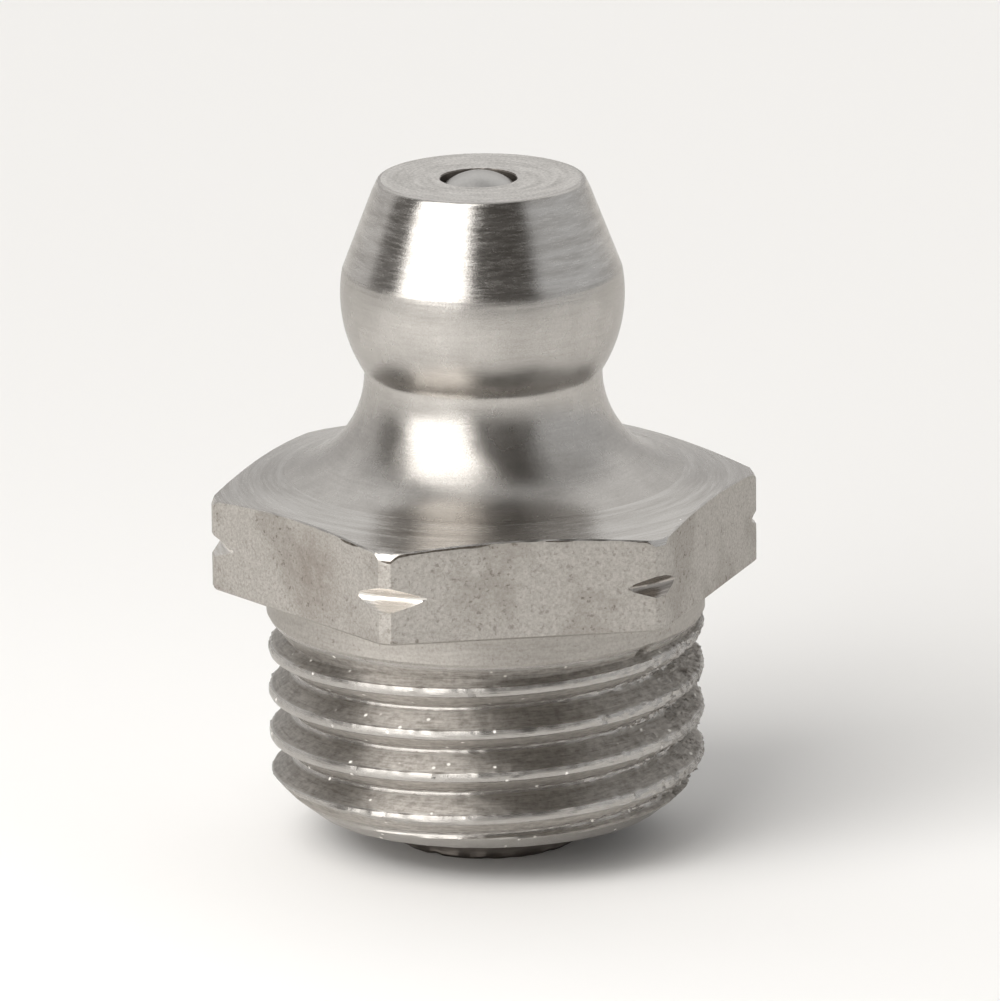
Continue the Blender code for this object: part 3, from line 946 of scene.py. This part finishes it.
def thread_steel():
    """Cut thread: streaked along the cut, with white dots as painted glints, rougher flanks darker
    than the crests from dirt and painted shade, and residue where it tore.
    """
    steel = Steel("thread_steel")
    streaks = steel.lines(per_mm=16.0, waves=8.0, detail=4.0, roughness=0.7)
    mottle = steel.grain(scale=6.0, detail=5.0, roughness=0.75)
    x, y, _ = steel.split(steel.place)
    radius = steel.from_axis(x, y)
    rising = steel.spread(radius, THREAD_ROOT_RADIUS + 0.03, THREAD_ROOT_RADIUS + 0.10)
    falling = steel.spread(radius, THREAD_RADIUS - 0.09, THREAD_RADIUS - 0.03, 1.0, 0.0)
    flank = steel.times(rising, falling)
    blend = steel.plus(streaks, mottle)
    # Flanks, down in the groove, take the darker grain: partly dirt, partly painted shade
    colour = steel.mix(flank, steel.shade(blend, 0.8, 1.2, CREST_GRAIN),
                       steel.shade(blend, 0.8, 1.2, FLANK_DIRT_AND_SHADE_GRAIN))
    towards_torn = steel.plus(steel.times(x, math.cos(TORN_ANGLE)),
                              steel.times(y, math.sin(TORN_ANGLE)))
    torn = steel.spread(towards_torn, 4.0, 4.9)
    lumps = steel.grain(scale=5.0, detail=4.0, roughness=0.75)
    residue = steel.times(steel.spread(lumps, 0.50, 0.62), torn)
    colour = steel.mix(steel.times(residue, 0.7), colour, RESIDUE_COLOUR)
    # White dots as painted glints
    colour = steel.painted_glints(colour, scale=3.0, size=0.060, share=0.32)
    roughness = steel.spread(flank, 0.0, 1.0, 0.27, 0.48)
    marks = steel.plus(streaks, steel.times(mottle, 0.8))
    marks = steel.plus(marks, steel.times(steel.times(lumps, torn), 9.0))
    return steel.finish(colour, marks, roughness, depth=0.0065, turned=0.94)


def bore_shade_steel():
    """Drilled bore, end face and spigot, coloured dark as painted shade."""
    steel = Steel("bore_shade_steel")
    lines = steel.lines(per_mm=7.0, waves=2.0)
    colour = steel.shade(lines, 0.3, 0.7, BORE_SHADE_GRAIN)
    return steel.finish(colour, lines, roughness=0.4, depth=0.008)


def ball_steel():
    """Lapped ball, with very faint marks."""
    steel = Steel("lapped_ball_steel")
    marks = steel.grain(scale=9.0, detail=4.0, roughness=0.7)
    roughness = steel.spread(marks, 0.3, 0.7, 0.30, 0.38, smooth=False)
    colour = steel.shade(marks, 0.3, 0.7, BALL_GRAIN)
    return steel.finish(colour, marks, roughness, depth=0.0006)


def spring_steel():
    """Drawn spring wire with faint die marks."""
    steel = Steel("drawn_spring_wire")
    marks = steel.grain(scale=18.0)
    colour = steel.shade(marks, 0.3, 0.7, WIRE_GRAIN)
    return steel.finish(colour, marks, roughness=0.3, depth=0.003)


# ---------------------------------------------------------------- studio

def panel(nodes, azimuth, elevation, sides, heights, soft):
    """Mask of a panel in the surroundings, from its edges in degrees, with soft borders."""
    masks = []
    for angle, edges in ((azimuth, sides), (elevation, heights)):
        low, high = (math.radians(edge) for edge in edges)
        blur = math.radians(soft) / 2
        rise = nodes.spread(angle, low - blur, low + blur)
        fall = nodes.spread(angle, high - blur, high + blur)
        masks.append(nodes.math("SUBTRACT", rise, fall))
    return nodes.times(masks[0], masks[1])


def leaning(nodes, azimuth, elevation, middle, heights, widening):
    """Azimuth from a panel's middle, where the panel grows wider between two heights."""
    low, high = (math.radians(height) for height in heights)
    wider = nodes.spread(elevation, low, high, 1.0, widening)
    return nodes.math("DIVIDE", nodes.math("SUBTRACT", azimuth, math.radians(middle)), wider)


def make_world():
    """Pale surroundings with one softbox to the left of the camera, its spill above it, a dark
    gap on either side of it and a bright wall behind the part.

    Azimuths and elevations are in degrees, and azimuths count from the camera.
    """
    world = bpy.data.worlds.new("studio")
    world.use_nodes = True
    bpy.context.scene.world = world
    nodes = Nodes(world.node_tree)
    x, y, z = nodes.split(nodes.add("TexCoord").outputs["Generated"])
    turn = nodes.math("ARCTAN2", x, nodes.times(y, -1.0))
    azimuth = nodes.math("SUBTRACT", turn, VIEW_AZIMUTH)
    either_side = nodes.math("ABSOLUTE", azimuth)
    elevation = nodes.math("ARCSINE", z)
    over_gap = leaning(nodes, azimuth, elevation, 20.5, (35, 72), 2.3)
    over_softbox = leaning(nodes, azimuth, elevation, -45.0, (30, 68), 1.55)
    light = nodes.mix(nodes.spread(azimuth, math.radians(-60), math.radians(60)),
                      LEFT_LIGHT, RIGHT_LIGHT)
    for mask, colour in (
            (nodes.spread(either_side, math.radians(100), math.radians(170)), BACK_LIGHT),
            (nodes.spread(elevation, math.radians(8), math.radians(60)), CEILING_LIGHT),
            (panel(nodes, either_side, elevation, (128, 200), (22, 62), 16), WALL_LIGHT),
            (panel(nodes, over_gap, elevation, (-29.5, 29.5), (4, 76), 5), RIGHT_GAP_LIGHT),
            (panel(nodes, azimuth, elevation, (-108, -77), (4, 60), 6), LEFT_GAP_LIGHT),
            (panel(nodes, over_softbox, elevation, (-29.0, 30.0), (6, 64), 5), SOFTBOX_LIGHT),
            (panel(nodes, over_softbox, elevation, (-26.0, 26.0), (60, 84), 14), SPILL_LIGHT)):
        light = nodes.mix(mask, light, colour)
    nodes.put(world.node_tree.nodes["Background"].inputs["Color"], light)


def make_floor():
    """Pale matt table under the part."""
    bm = bmesh.new()
    bmesh.ops.create_circle(bm, cap_ends=True, segments=FLOOR_SIDES, radius=FLOOR_RADIUS * MM)
    mesh = bpy.data.meshes.new("floor")
    bm.to_mesh(mesh)
    bm.free()
    material = bpy.data.materials.new("pale_floor")
    material.use_nodes = True
    inputs = material.node_tree.nodes["Principled BSDF"].inputs
    inputs["Base Color"].default_value = FLOOR_COLOUR
    inputs["Roughness"].default_value = 0.9
    inputs["Specular IOR Level"].default_value = 0.2
    mesh.materials.append(material)
    place_in_scene("floor", mesh)


def make_pool():
    """Light that falls on the table in front of the softbox, beside the part."""
    data = bpy.data.lights.new("table_pool", "AREA")
    data.shape = "DISK"
    data.size = POOL_SIZE * MM
    data.energy = POOL_WATTS
    pool = place_in_scene("table_pool", data)
    pool.location = (POOL_DISTANCE * MM * math.sin(POOL_AZIMUTH),
                     -POOL_DISTANCE * MM * math.cos(POOL_AZIMUTH), POOL_HEIGHT * MM)
    pool.visible_glossy = False


def make_camera():
    """Long lens a little above the part, rolled by about half a degree."""
    back = Vector((math.sin(VIEW_AZIMUTH) * math.cos(VIEW_ELEVATION),
                   -math.cos(VIEW_AZIMUTH) * math.cos(VIEW_ELEVATION), math.sin(VIEW_ELEVATION)))
    data = bpy.data.cameras.new("camera")
    data.lens = VIEW_LENS
    data.clip_start = 0.01
    data.clip_end = 20.0
    camera = place_in_scene("camera", data)
    roll = Matrix.Rotation(-VIEW_ROLL, 4, "Z")
    turn = back.to_track_quat("Z", "Y").to_matrix().to_4x4() @ roll
    side = turn.to_3x3() @ Vector((1.0, 0.0, 0.0))
    aim = Vector((0.0, 0.0, VIEW_AIM_Z)) + back * VIEW_DISTANCE + side * VIEW_SIDE_STEP
    camera.matrix_world = Matrix.Translation(aim * MM) @ turn
    bpy.context.scene.camera = camera


def main():
    body = make_body()
    ball = make_ball()
    spring = make_spring()
    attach(body, "nipple")
    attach(spring, "nipple")
    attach(ball, "ball")
    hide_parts("nipple_body")
    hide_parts("check_spring")
    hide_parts("check_ball")
    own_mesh(spring)
    make_world()
    make_floor()
    make_pool()
    make_camera()
    scene = bpy.context.scene
    scene.view_settings.view_transform = "Standard"
    scene.cycles.use_denoising = True


main()
